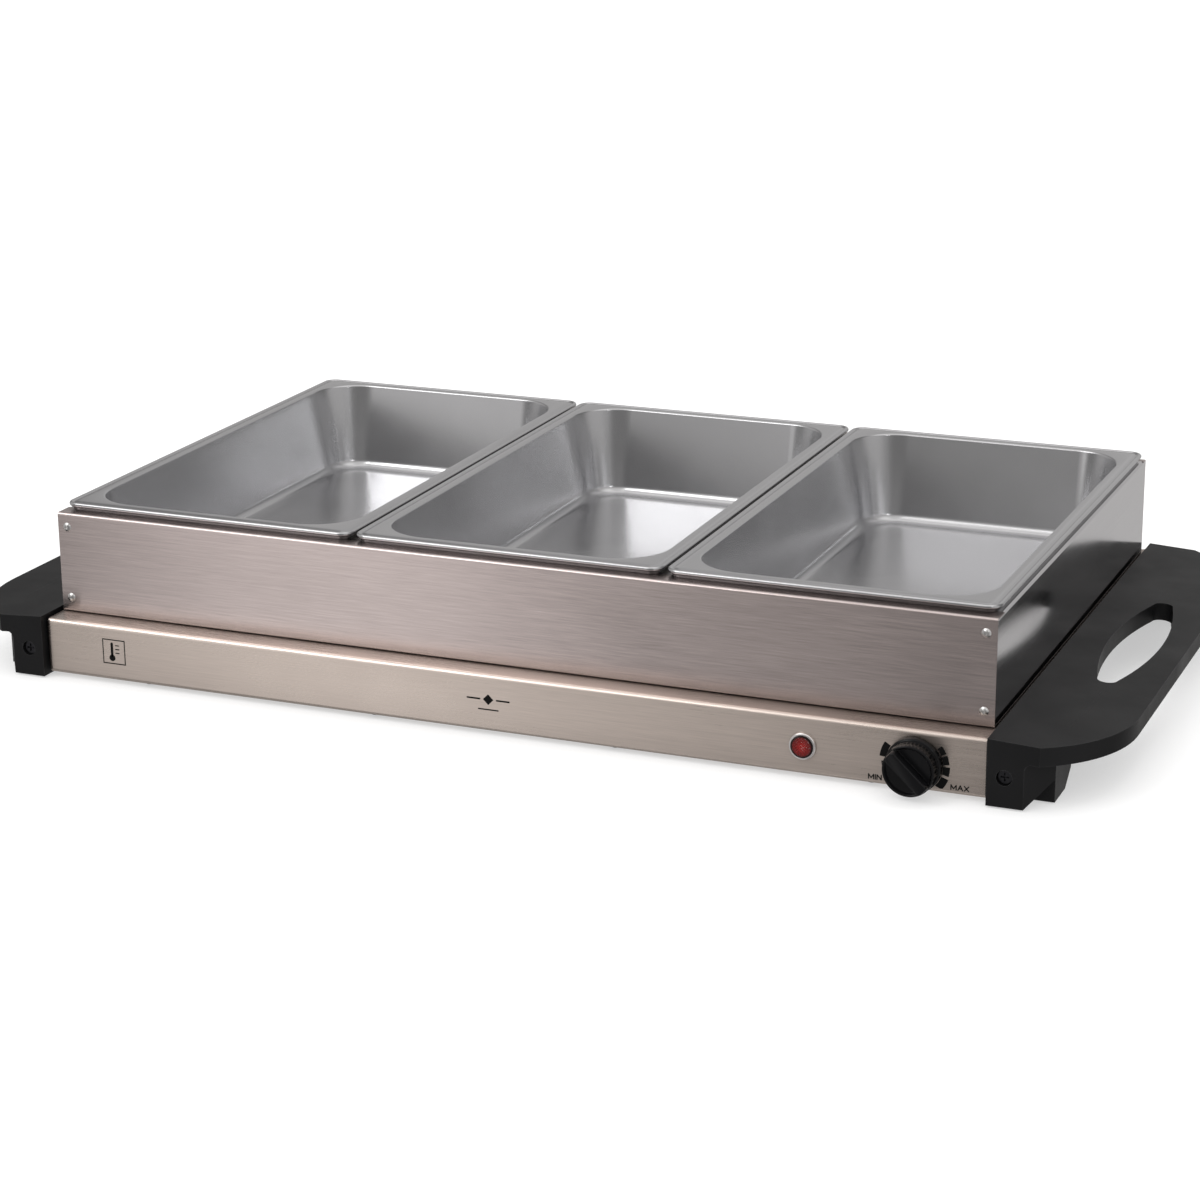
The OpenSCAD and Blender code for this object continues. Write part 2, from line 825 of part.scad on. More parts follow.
module rail(x) {
    front = -frame_d / 2 + flange_front + 0.2;
    rear = frame_d / 2 - flange_rear - 0.2;
    translate([x, 0, 0]) {
        translate([0, (front + rear) / 2, 0]) along_y(rear - front) difference() {
            translate([-rail_w / 2, frame_top - 10]) square([rail_w, 10]);
            translate([-rail_w / 2 + sheet, frame_top - 11]) square([rail_w - 2 * sheet, 11 - sheet]);
        }
        front_and_rear() translate([-rail_w / 2 + sheet, -frame_d / 2 + sheet + 0.6, frame_top - 2 * sheet])
            cube([rail_w - 2 * sheet, 24, sheet]);
    }
}

module left_rail() {
    color("silver") set_back() rail(-pan_pitch / 2);
}

module right_rail() {
    color("silver") set_back() rail(pan_pitch / 2);
}

module rivets_shape() {
    for (s = [-1, 1], z = [rivet_low, rivet_high])
        translate([s * rivet_x, -frame_d / 2, z]) rotate([90, 0, 0]) {
            difference() {
                intersection() {
                    cylinder(r = 2.5, h = 1.3);
                    translate([0, 0, -2.1]) sphere(3.3);
                }
                translate([0, 0, 0.5]) cylinder(r = 0.9, h = 2);
            }
            translate([0, 0, -2 * sheet]) cylinder(r = rivet_r, h = 2 * sheet);
            translate([0, 0, -2 * sheet - 1]) cylinder(r = 2.3, h = 1);
        }
}

module front_rivets() {
    color("gainsboro") set_back() rivets_shape();
}

module rear_rivets() {
    color("gainsboro") set_back() mirror([0, 1, 0]) rivets_shape();
}

// ------------------------------------------------------------------- pans

module pan(x) {
    edge_r = 2.4;
    mouth = [pan_w / 2 - pan_rim, pan_l / 2 - pan_rim];
    wall_c = mouth - [mouth_corner, mouth_corner];
    rim_c = [pan_w / 2 - rim_corner, pan_l / 2 - rim_corner];
    bottom_r = 6;
    floor_z = rim_top - pan_h + pan_t;
    lean = atan(pan_taper / (pan_h - bottom_r));
    top_c = [mouth_corner + edge_r, rim_top - edge_r];
    top_end = top_c + edge_r * [-cos(lean), sin(lean)];
    low_z = floor_z + bottom_r;
    low_end_z = low_z - bottom_r * sin(lean);
    low_end = [top_end[0] - (top_end[1] - low_end_z) * tan(lean), low_end_z];
    low_c = [low_end[0] - bottom_r * cos(lean), low_z];
    inner = concat(arc(top_c, edge_r, 90, 180 - lean, 6), arc(low_c, bottom_r, -lean, -90, 8));
    outer = concat(arc(low_c, bottom_r + pan_t, -90, -lean, 8),
                   arc(top_c, edge_r - pan_t, 180 - lean, 90, 6));
    lip_c = [rim_corner - edge_r, rim_top - edge_r];
    translate([x, pan_back, 0]) {
        sweep_round(wall_c[0], wall_c[1]) polygon(concat(inner, outer));
        translate([0, 0, floor_z - pan_t]) linear_extrude(pan_t)
            round_rect(wall_c[0] + low_c[0], wall_c[1] + low_c[0], low_c[0]);
        translate([0, 0, rim_top - pan_t]) linear_extrude(pan_t) difference() {
            round_rect(rim_c[0] + lip_c[0], rim_c[1] + lip_c[0], lip_c[0]);
            round_rect(wall_c[0] + top_c[0], wall_c[1] + top_c[0], top_c[0]);
        }
        sweep_round(rim_c[0], rim_c[1]) polygon(concat(
            arc(lip_c, edge_r, 90, 0, 6), [[rim_corner, frame_top], [rim_corner - pan_t, frame_top]],
            arc(lip_c, edge_r - pan_t, 0, 90, 6)));
    }
}

module pan_left() {
    color("gainsboro") set_back() pan(-pan_pitch);
}

module pan_middle() {
    color("gainsboro") set_back() pan(0);
}

module pan_right() {
    color("gainsboro") set_back() pan(pan_pitch);
}

// ------------------------------------------------------------------- knob

module knob() {
    face = knob_out - grip_h;
    skirt_top = 4.6;
    grip_half = 12.5;
    color([0.1, 0.1, 0.1]) out_of_front(dial_x, dial_z) difference() {
        union() {
            rotate_extrude() polygon(concat([[0, 0.8], [knob_r, 0.8]],
                arc([knob_r - 1.2, skirt_top - 1.2], 1.2, 0, 80, 5),
                [[knob_r - 1.6, skirt_top]],
                arc([knob_r - 4.7, face - 1.2], 1.2, 12, 90, 6), [[0, face]]));
            rotate(grip_tilt) translate([0, 0, face - 1]) linear_extrude(grip_h + 1)
                round_rect(grip_w / 2, grip_half, 2);
        }
        cylinder(r = 8.4, h = 3.6);
        translate([0, 0, -1]) cylinder(r = 3.7, h = 13);
        rotate(grip_tilt) translate([0, 9, knob_out - 0.6]) cube([1.6, 5, 1.4], center = true);
    }
}

module knob_pointer() {
    color("dimgray") out_of_front(dial_x, dial_z) rotate(grip_tilt)
        translate([-0.7, 6.6, knob_out - 1.25]) cube([1.4, 4.8, 1.2]);
}

module knob_spring() {
    color("silver") out_of_front(dial_x, dial_z) difference() {
        translate([0, 0, 4]) cylinder(r = 3.65, h = 7);
        translate([0, 0, 3]) cylinder(r = 3.04, h = 9);
        rotate(grip_tilt) translate([0, -4, 8]) cube([1.6, 4, 12], center = true);
    }
}

module thermostat_spindle() {
    color("silver") out_of_front(dial_x, dial_z) difference() {
        translate([0, 0, -19]) cylinder(r = 3, h = 30.5);
        rotate(grip_tilt) translate([-4, 1.8, 4]) cube([8, 3, 9]);
    }
}

// -------------------------------------------------------------- selection

base_shell();
bottom_cover();
cover_screws();
heat_spreader();
weld_studs();
stud_nuts();
heating_element();
element_terminals();
element_clamps();
insulation_pad();
heat_shield();
thermostat_bracket();
thermostat_body();
thermostat_blade();
thermostat_nut();
thermal_fuse();
terminal_block();
terminal_screws();
lamp_bezel();
lamp_lens();
lamp_bulb();
lamp_clip();
lamp_leads();
wire_live();
wire_switched();
wire_neutral();
wire_earth();
earth_stud();
earth_nut();
cord_gland();
gland_locknut();
left_handle();
right_handle();
left_brackets();
right_brackets();
bracket_rivets();
left_handle_screws();
right_handle_screws();
left_feet();
right_feet();
frame_front();
frame_rear();
frame_left();
frame_right();
left_rail();
right_rail();
front_rivets();
rear_rivets();
pan_left();
pan_middle();
pan_right();
knob();
knob_pointer();
knob_spring();
thermostat_spindle();
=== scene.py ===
"""Looks for an electric buffet server: a heated steel base between two moulded
handles, a lift-off steel frame and three lift-out pans. Metres, +Z up."""

import json
import math

import bmesh
import bpy
from mathutils import Matrix, Vector


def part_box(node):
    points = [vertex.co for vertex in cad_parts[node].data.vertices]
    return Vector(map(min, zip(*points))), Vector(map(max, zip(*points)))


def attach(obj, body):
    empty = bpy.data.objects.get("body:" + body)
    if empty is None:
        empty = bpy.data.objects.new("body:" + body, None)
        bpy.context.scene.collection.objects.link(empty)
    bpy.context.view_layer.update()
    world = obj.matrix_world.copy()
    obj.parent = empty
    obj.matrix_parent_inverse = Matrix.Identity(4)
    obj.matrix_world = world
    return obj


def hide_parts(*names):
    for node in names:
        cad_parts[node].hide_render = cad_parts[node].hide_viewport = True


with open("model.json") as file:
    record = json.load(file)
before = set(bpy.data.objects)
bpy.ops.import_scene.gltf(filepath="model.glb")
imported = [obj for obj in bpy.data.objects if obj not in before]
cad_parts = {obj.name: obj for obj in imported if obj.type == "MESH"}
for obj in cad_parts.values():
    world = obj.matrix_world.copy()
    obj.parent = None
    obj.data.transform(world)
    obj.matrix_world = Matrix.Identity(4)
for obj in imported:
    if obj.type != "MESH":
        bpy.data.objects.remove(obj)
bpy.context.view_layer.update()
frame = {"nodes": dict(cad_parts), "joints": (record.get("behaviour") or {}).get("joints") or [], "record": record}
scene = bpy.context.scene
MM = 0.001

# Places that the frame gives: the dial's and the lamp's middles on the front
# fascia, and how far its flat part reaches between the sheet's folds
FOLD_R = 2.4 * MM
base_low, base_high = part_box("base_shell")
knob_joint = next(j for j in frame["joints"] if j["name"] == "knob_turn")
dial = Vector(knob_joint["pos_m"])
bezel_low, bezel_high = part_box("lamp_bezel")
lamp = Vector(((bezel_low.x + bezel_high.x) / 2, base_low.y, (bezel_low.z + bezel_high.z) / 2))
print_low = base_low.z + FOLD_R
print_high = base_high.z - FOLD_R


# ------------------------------------------------------------ making meshes

def add_object(name, mesh, material, body, replaces=()):
    """A finished piece that rides on a CAD body."""
    obj = bpy.data.objects.new(name, mesh)
    scene.collection.objects.link(obj)
    mesh.materials.append(material)
    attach(obj, body)
    if replaces:
        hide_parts(*replaces)


def shade(mesh, sharp_deg):
    """Smooth shading, but sharp where faces meet at more than sharp_deg."""
    mesh.shade_smooth()
    mesh.set_sharp_from_angle(angle=math.radians(sharp_deg))


def mesh_from(name, vertices, faces, sharp_deg):
    """A shaded mesh whose faces all look outwards."""
    mesh = bpy.data.meshes.new(name)
    mesh.from_pydata([tuple(v) for v in vertices], [], faces)
    mesh.validate()
    bm = bmesh.new()
    bm.from_mesh(mesh)
    bmesh.ops.recalc_face_normals(bm, faces=bm.faces)
    bm.to_mesh(mesh)
    bm.free()
    shade(mesh, sharp_deg)
    return mesh


def join_loops(loops):
    """Vertices and faces of a skin through closed loops of equal length, with
    a cap on the first and the last."""
    count = len(loops[0])
    last = (len(loops) - 1) * count
    vertices = [p for loop in loops for p in loop]
    faces = []
    for start in range(0, last, count):
        for i in range(count):
            a, b = start + i, start + (i + 1) % count
            faces.append((a, b, b + count, a + count))
    faces.append(tuple(reversed(range(count))))
    faces.append(tuple(range(last, last + count)))
    return vertices, faces


def circle(radius, steps):
    """Closed outline of a circle about the origin."""
    angles = [2 * math.pi * i / steps for i in range(steps)]
    return [(radius * math.cos(a), radius * math.sin(a)) for a in angles]


def round_corners(centre_x, centre_y, radius_x, radius_y, steps):
    """Closed outline about the origin with a quarter of an ellipse round each of
    the points (+-centre_x, +-centre_y)."""
    points = []
    for turn, (sx, sy) in enumerate(((1, 1), (-1, 1), (-1, -1), (1, -1))):
        for i in range(steps + 1):
            a = math.radians(90 * turn + 90 * i / steps)
            points.append((sx * centre_x + radius_x * math.cos(a),
                           sy * centre_y + radius_y * math.sin(a)))
    return points


def arc(centre, radius, start_deg, end_deg, steps):
    """Points along part of a circle, both ends included."""
    points = []
    for i in range(steps + 1):
        a = math.radians(start_deg + (end_deg - start_deg) * i / steps)
        points.append((centre[0] + radius * math.cos(a), centre[1] + radius * math.sin(a)))
    return points


def out_of_front(centre, point):
    """A point of something drawn face up, turned to face the front at centre."""
    return Vector((centre.x + point[0], centre.y - point[2], centre.z + point[1]))


def union(name, meshes):
    """One closed mesh from several that overlap."""
    objects = []
    for mesh in meshes:
        obj = bpy.data.objects.new(name, mesh)
        scene.collection.objects.link(obj)
        objects.append(obj)
    body = objects[0]
    for other in objects[1:]:
        step = body.modifiers.new("join", "BOOLEAN")
        step.operation = "UNION"
        step.solver = "EXACT"
        step.object = other
    graph = bpy.context.evaluated_depsgraph_get()
    result = bpy.data.meshes.new_from_object(body.evaluated_get(graph))
    for obj in objects:
        bpy.data.objects.remove(obj)
    result.name = name
    return result


# ---------------------------------------------------------------- materials

class Surface:
    """Builds one material's node tree."""

    def __init__(self, name):
        self.material = bpy.data.materials.new(name)
        self.material.use_nodes = True
        self.tree = self.material.node_tree
        self.shader = self.tree.nodes["Principled BSDF"]
        self.place = self.add("ShaderNodeTexCoord").outputs["Object"]

    def add(self, kind, **settings):
        node = self.tree.nodes.new(kind)
        for key, value in settings.items():
            setattr(node, key, value)
        return node

    def link(self, source, target):
        self.tree.links.new(source, target)

    def scaled(self, sizes):
        """Object coordinates, stretched so that one unit is sizes metres."""
        node = self.add("ShaderNodeVectorMath", operation="DIVIDE")
        self.link(self.place, node.inputs[0])
        node.inputs[1].default_value = sizes
        return node.outputs[0]

    def noise(self, sizes, detail=2.0, rough=0.5):
        """Noise whose features are about sizes metres long on each axis."""
        node = self.add("ShaderNodeTexNoise")
        self.link(self.scaled(sizes), node.inputs["Vector"])
        node.inputs["Scale"].default_value = 1.0
        node.inputs["Detail"].default_value = detail
        node.inputs["Roughness"].default_value = rough
        return node.outputs["Fac"]

    def remap(self, value, low, high, to_low, to_high, **settings):
        """A value's range low..high, turned into to_low..to_high and clamped."""
        node = self.add("ShaderNodeMapRange", **settings)
        self.link(value, node.inputs["Value"])
        limits = {"From Min": low, "From Max": high, "To Min": to_low, "To Max": to_high}
        for key, number in limits.items():
            node.inputs[key].default_value = number
        return node.outputs["Result"]

    def maths(self, operation, a, b):
        """One sum on two values, each a number or a socket."""
        node = self.add("ShaderNodeMath", operation=operation)
        for socket, value in zip(node.inputs, (a, b)):
            if isinstance(value, (int, float)):
                socket.default_value = value
            else:
                self.link(value, socket)
        return node.outputs[0]

    def tint(self, colour, factor):
        """The colour, made darker or lighter by a factor near 1."""
        node = self.add("ShaderNodeVectorMath", operation="SCALE")
        node.inputs[0].default_value = colour
        self.link(factor, node.inputs["Scale"])
        return node.outputs[0]

    def towards(self, factor, source, colour):
        """A source's colour, mixed towards a fixed one. The numbers are the
        places of a mix node's colour sockets."""
        node = self.add("ShaderNodeMix", data_type="RGBA")
        self.link(factor, node.inputs["Factor"])
        self.link(source, node.inputs[6])
        node.inputs[7].default_value = (*colour, 1.0)
        return node.outputs[2]

    def dot(self, a, b):
        """Dot product of a socket with another one or with a fixed vector."""
        node = self.add("ShaderNodeVectorMath", operation="DOT_PRODUCT")
        self.link(a, node.inputs[0])
        if isinstance(b, Vector):
            node.inputs[1].default_value = b
        else:
            self.link(b, node.inputs[1])
        return node.outputs["Value"]

    def edges(self, radius):
        """1 on edges, 0 on flat faces."""
        bevel = self.add("ShaderNodeBevel", samples=4)
        bevel.inputs["Radius"].default_value = radius
        flat = self.add("ShaderNodeNewGeometry")
        return self.remap(self.dot(bevel.outputs[0], flat.outputs["Normal"]), 0.98, 0.80, 0.0, 1.0)

    def openness(self, distance):
        """1 in the open, less in corners and under ledges."""
        node = self.add("ShaderNodeAmbientOcclusion", samples=8)
        node.inputs["Distance"].default_value = distance
        return node.outputs["AO"]

    def painted_crevice_shade(self, distance, strength, upright):
        """Painted shade: a colour factor, 1 in the open and less in hollows, where shade falls.
        On upright faces it falls only by the share upright of what it does on level ones."""
        shut = self.remap(self.openness(distance), 0.4, 0.9, strength, 0.0)
        normal = self.add("ShaderNodeSeparateXYZ")
        self.link(self.add("ShaderNodeNewGeometry").outputs["Normal"], normal.inputs[0])
        level = self.remap(normal.outputs["Z"], 0.3, 0.8, upright, 1.0)
        return self.maths("SUBTRACT", 1.0, self.maths("MULTIPLY", shut, level))

    def distance(self, point):
        """How far the surface is from a point, in metres."""
        node = self.add("ShaderNodeVectorMath", operation="DISTANCE")
        self.link(self.place, node.inputs[0])
        node.inputs[1].default_value = point
        return node.outputs["Value"]

    def colour(self, source):
        self.link(source, self.shader.inputs["Base Color"])

    def roughness(self, source):
        self.link(source, self.shader.inputs["Roughness"])

    def bump(self, height, distance):
        node = self.add("ShaderNodeBump")
        node.inputs["Distance"].default_value = distance
        node.inputs["Strength"].default_value = 1.0
        self.link(height, node.inputs["Height"])
        self.link(node.outputs[0], self.shader.inputs["Normal"])

    def set(self, **values):
        """Sets the shader's own sockets: Coat_Weight stands for Coat Weight."""
        for key, value in values.items():
            self.shader.inputs[key.replace("_", " ")].default_value = value


X_AXIS, Y_AXIS = 0, 1


def along(axis, length, across):
    """Feature sizes for a streak that runs along one axis."""
    return tuple(length if i == axis else across for i in range(3))


def brushed(name, colour, axis, roughness, contrast=0.05, aniso=0.6, depth=0.004 * MM,
            smudge=0.05, painted_shade=0.0):
    """Sheet steel with a fine brushed grain along one axis. It can carry painted shade in its hollows."""
    s = Surface(name)
    fine = s.noise(along(axis, 16 * MM, 0.35 * MM), 3.0)
    streak = s.noise(along(axis, 60 * MM, 1.1 * MM), 2.0)
    cloud = s.noise((70 * MM, 70 * MM, 50 * MM), 2.0)
    grain = s.maths("ADD", s.maths("MULTIPLY", fine, 0.6), s.maths("MULTIPLY", streak, 0.4))
    tone = s.remap(grain, 0.3, 0.7, 1 - contrast, 1 + contrast)
    # Painted shade: the colour darkens in hollows, under ledges and in gaps, where shade falls
    if painted_shade:
        tone = s.maths("MULTIPLY", tone, s.painted_crevice_shade(25 * MM, painted_shade, 0.25))
    s.colour(s.tint(colour, tone))
    scratches = s.remap(grain, 0.3, 0.7, -0.03, 0.03)
    smudges = s.remap(cloud, 0.35, 0.65, -smudge / 2, smudge / 2)
    s.roughness(s.maths("ADD", s.maths("ADD", scratches, smudges), roughness))
    s.bump(grain, depth)
    s.set(Metallic=1.0, Anisotropic=aniso, Anisotropic_Rotation=0.25)
    direction = s.add("ShaderNodeCombineXYZ")
    direction.inputs[axis].default_value = 1.0
    s.link(direction.outputs[0], s.shader.inputs["Tangent"])
    return s.material


def satin_metal(name, colour, roughness, mottle=0.04, size=3 * MM, depth=0.003 * MM,
                painted_shade=0.0):
    """Metal with no grain direction: drawn, plated, rolled or cast. It can carry painted shade in its hollows."""
    s = Surface(name)
    cloud = s.noise((size * 8, size * 8, size * 8), 3.0)
    speck = s.noise((size * 0.3, size * 0.3, size * 0.3), 2.0)
    tone = s.remap(cloud, 0.1, 0.9, 1 - mottle * 2, 1 + mottle * 2)
    # Painted shade: the colour darkens in small hollows and gaps, where shade falls
    if painted_shade:
        tone = s.maths("MULTIPLY", tone, s.painted_crevice_shade(5 * MM, painted_shade, 1.0))
    s.colour(s.tint(colour, tone))
    s.roughness(s.remap(cloud, 0.1, 0.9, roughness * 0.8, roughness * 1.2))
    s.bump(speck, depth)
    s.set(Metallic=1.0)
    return s.material


def plastic(name, colour, roughness, grain=0.35 * MM, depth=0.02 * MM, mottle=0.1,
            specular=0.5, wear=None):
    """Moulded plastic or rubber with a fine surface texture. Its edges turn
    towards the colour wear, where there is one."""
    s = Surface(name)
    cloud = s.noise((35 * MM, 35 * MM, 35 * MM), 3.0)
    texture = s.noise((grain, grain, grain), 2.0)
    tinted = s.tint(colour, s.remap(cloud, 0.3, 0.7, 1 - mottle, 1 + mottle))
    if wear:
        worn = s.maths("MULTIPLY", s.edges(0.5 * MM), s.remap(cloud, 0.35, 0.7, 0.2, 1.0))
        tinted = s.towards(worn, tinted, wear)
    s.colour(tinted)
    s.roughness(s.remap(cloud, 0.3, 0.7, roughness - 0.05, roughness + 0.05))
    s.bump(texture, depth)
    s.set(Specular_IOR_Level=specular)
    return s.material


def fibre(name, colour, size, depth):
    """Felted or braided fibre."""
    s = Surface(name)
    threads = s.noise((size, size, size * 0.3), 4.0, 0.7)
    s.colour(s.tint(colour, s.remap(threads, 0.3, 0.7, 0.8, 1.08)))
    s.bump(threads, depth)
    s.set(Roughness=0.9, Specular_IOR_Level=0.1)
    return s.material


def clear_red(name, colour, roughness, middle=None):
    """Dyed clear plastic or glass that lets light through. The lamp's lens has
    a middle: a painted glow makes it brighter there, and a painted shadow makes it dark round its edge."""
    s = Surface(name)
    cloud = s.noise((1.5 * MM, 1.5 * MM, 1.5 * MM), 2.0)
    tone = s.remap(cloud, 0.3, 0.7, 0.85, 1.15)
    if middle:
        reach = s.distance(middle)
        # Painted glow: the colour is lit up towards the middle, nearly twice as bright there
        glow = s.remap(reach, 1 * MM, 4.6 * MM, 1.9, 0.9)
        # Painted shadow: the colour falls nearly to black round the lens's edge
        edge = s.remap(reach, 4.7 * MM, 5.4 * MM, 1.0, 0.05)
        tone = s.maths("MULTIPLY", tone, s.maths("MULTIPLY", glow, edge))
    s.colour(s.tint(colour, tone))
    s.roughness(s.remap(cloud, 0.3, 0.7, roughness * 0.7, roughness * 1.3))
    s.set(Transmission_Weight=0.3, IOR=1.45, Coat_Weight=0.15, Coat_Roughness=0.05)
    return s.material


# Painted glow: the lens's colour is brightest round a point in its dome, a little outside the fascia
LENS_PAINTED_GLOW_AT = lamp - Vector((0, 2.2 * MM, 0))

# One material for each of the record's slots
materials = {
    # base_steel, frame_steel and pan_steel carry painted shade in their hollows and under ledges
    "base_steel": brushed("base_steel", (0.72, 0.625, 0.565), X_AXIS, 0.29,
                          contrast=0.09, aniso=0.8, painted_shade=0.75),
    "frame_steel": brushed("frame_steel", (0.60, 0.52, 0.503), X_AXIS, 0.22,
                           contrast=0.15, aniso=0.85, painted_shade=0.4),
    "rail_steel": brushed("rail_steel", (0.58, 0.56, 0.55), Y_AXIS, 0.30),
    "pan_steel": satin_metal("pan_steel", (0.58, 0.58, 0.59), 0.24, mottle=0.02,
                             size=6 * MM, depth=0.0003 * MM, painted_shade=0.45),
    "cover_steel": satin_metal("cover_steel", (0.60, 0.60, 0.60), 0.45, mottle=0.12, size=6 * MM),
    "dark_screw": satin_metal("dark_screw", (0.05, 0.05, 0.055), 0.4, mottle=0.15),
    "spreader_aluminium": satin_metal("spreader_aluminium", (0.78, 0.78, 0.79), 0.4),
    "shield_aluminium": satin_metal("shield_aluminium", (0.74, 0.74, 0.75), 0.35),
    "zinc": satin_metal("zinc", (0.72, 0.73, 0.72), 0.35, mottle=0.1),
    "element_sheath": satin_metal("element_sheath", (0.2, 0.19, 0.18), 0.55, mottle=0.2),
    "brass": satin_metal("brass", (0.78, 0.6, 0.3), 0.3),
    "rivet_aluminium": satin_metal("rivet_aluminium", (0.74, 0.73, 0.72), 0.28),
    "lamp_chrome": satin_metal("lamp_chrome", (0.93, 0.9, 0.89), 0.34, mottle=0.02),
    "ceramic": plastic("ceramic", (0.84, 0.81, 0.73), 0.6, grain=0.6 * MM),
    "terminal_plastic": plastic("terminal_plastic", (0.83, 0.83, 0.81), 0.45),
    "gland_plastic": plastic("gland_plastic", (0.018, 0.018, 0.019), 0.45),
    "handle_plastic": plastic("handle_plastic", (0.007, 0.007, 0.0075), 0.45, grain=0.4 * MM,
                              depth=0.03 * MM, mottle=0.15, specular=0.18,
                              wear=(0.05, 0.05, 0.052)),
    "foot_rubber": plastic("foot_rubber", (0.03, 0.03, 0.03), 0.75, grain=0.5 * MM,
                           depth=0.04 * MM, mottle=0.2, specular=0.3),
    "knob_plastic": plastic("knob_plastic", (0.004, 0.004, 0.0045), 0.22, grain=0.8 * MM,
                            depth=0.004 * MM, specular=0.2, wear=(0.04, 0.04, 0.04)),
    "pointer_mark": plastic("pointer_mark", (0.03, 0.03, 0.03), 0.4),
    "wire_white": plastic("wire_white", (0.83, 0.83, 0.82), 0.4),
    "wire_brown": plastic("wire_brown", (0.25, 0.11, 0.05), 0.4),
    "wire_red": plastic("wire_red", (0.45, 0.03, 0.03), 0.4),
    "wire_blue": plastic("wire_blue", (0.04, 0.12, 0.5), 0.4),
    "wire_green": plastic("wire_green", (0.2, 0.45, 0.07), 0.4),
    "glass_fibre": fibre("glass_fibre", (0.86, 0.85, 0.81), 1.5 * MM, 0.3 * MM),
    "fuse_sleeve": fibre("fuse_sleeve", (0.88, 0.87, 0.84), 0.6 * MM, 0.1 * MM),
    # The lens carries a painted glow in its middle and a painted shadow round its edge
    "lamp_red": clear_red("lamp_red", (0.16, 0.005, 0.004), 0.15, LENS_PAINTED_GLOW_AT),
    "bulb_glass": clear_red("bulb_glass", (0.8, 0.45, 0.25), 0.05),
}
# Two more looks: the frame's sides, brushed the other way, and printed ink
side_steel = brushed("frame_side_steel", (0.60, 0.59, 0.60), Y_AXIS, 0.13,
                     aniso=0.3, depth=0.001 * MM, smudge=0.04)
print_black = plastic("print_black", (0.006, 0.006, 0.006), 0.6, grain=0.3 * MM,
                      depth=0.002 * MM, specular=0.05)


def paint_frame():
    """Gives each CAD node the material of its slot, and the frame's sides theirs."""
    for part in frame["record"]["subparts"]:
        obj = frame["nodes"][part["node"]]
        material = materials[part["material_slot"]]
        if part["node"] in ("frame_left", "frame_right"):
            material = side_steel
        for place in obj.material_slots:
            place.material = material


SMOOTH_DEG = 36
BEVEL_DEG = 32
WELD_GAP = 0.002 * MM
FLAT_DEG = 0.4


def smooth_by_angle(limit_deg):
    """Node group that shades every edge flatter than the limit smooth."""
    group = bpy.data.node_groups.new("smooth_by_angle", "GeometryNodeTree")
    group.interface.new_socket("Geometry", in_out="INPUT", socket_type="NodeSocketGeometry")
    group.interface.new_socket("Geometry", in_out="OUTPUT", socket_type="NodeSocketGeometry")
    start = group.nodes.new("NodeGroupInput")
    faces = group.nodes.new("GeometryNodeSetShadeSmooth")
    faces.domain = "FACE"
    edges = group.nodes.new("GeometryNodeSetShadeSmooth")
    edges.domain = "EDGE"
    angle = group.nodes.new("GeometryNodeInputMeshEdgeAngle")
    flatter = group.nodes.new("FunctionNodeCompare")
    flatter.operation = "LESS_THAN"
    flatter.inputs[1].default_value = math.radians(limit_deg)
    end = group.nodes.new("NodeGroupOutput")
    group.links.new(angle.outputs["Unsigned Angle"], flatter.inputs[0])
    group.links.new(start.outputs[0], faces.inputs["Geometry"])
    group.links.new(faces.outputs["Geometry"], edges.inputs["Geometry"])
    group.links.new(flatter.outputs[0], edges.inputs["Shade Smooth"])
    group.links.new(edges.outputs["Geometry"], end.inputs[0])
    return group


smoothing = smooth_by_angle(SMOOTH_DEG)


def soften(node, width, segments):
    """Rounds a CAD node's sharp edges by modifiers, so that they catch light."""
    obj = frame["nodes"][node]
    weld = obj.modifiers.new("weld", "WELD")
    weld.merge_threshold = WELD_GAP
    merge = obj.modifiers.new("merge", "DECIMATE")
    merge.decimate_type = "DISSOLVE"
    merge.angle_limit = math.radians(FLAT_DEG)
    bevel = obj.modifiers.new("bevel", "BEVEL")
    bevel.width = width
    bevel.segments = segments
    bevel.limit_method = "ANGLE"
    bevel.angle_limit = math.radians(BEVEL_DEG)
    smooth = obj.modifiers.new("smooth", "NODES")
    smooth.node_group = smoothing
    normals = obj.modifiers.new("normals", "WEIGHTED_NORMAL")
    normals.keep_sharp = True


# --------------------------------------------------------------------- pans

# All in millimetres
PAN_RIM = 9.0          # width of the rim's flat
RIM_CORNER = 7.5       # corner radius of the rim's outline
MOUTH_CORNER = 28.0    # corner radius of the opening
PAN_TAPER = 8.0        # how far each wall leans in on its way down
PAN_T = 0.8            # sheet
EDGE_R = 1.4           # bend between the wall and the rim
FLOOR_R = 6.0          # bend between the wall and the floor
FLOOR_CROWN = 0.7      # how much higher the floor's middle is than its edge
CROWN_W = 12.0         # over what width it rises to that
BEAD_R = 1.25          # rolled edge
LIP_IN = 2.2           # from the rim's outline to the lip under it
RIM_STEP = 0.8         # from the bead's top down to the shelf beside it
CORNER_STEPS = 14
BEND_STEPS = 8
BEAD_STEPS = 12


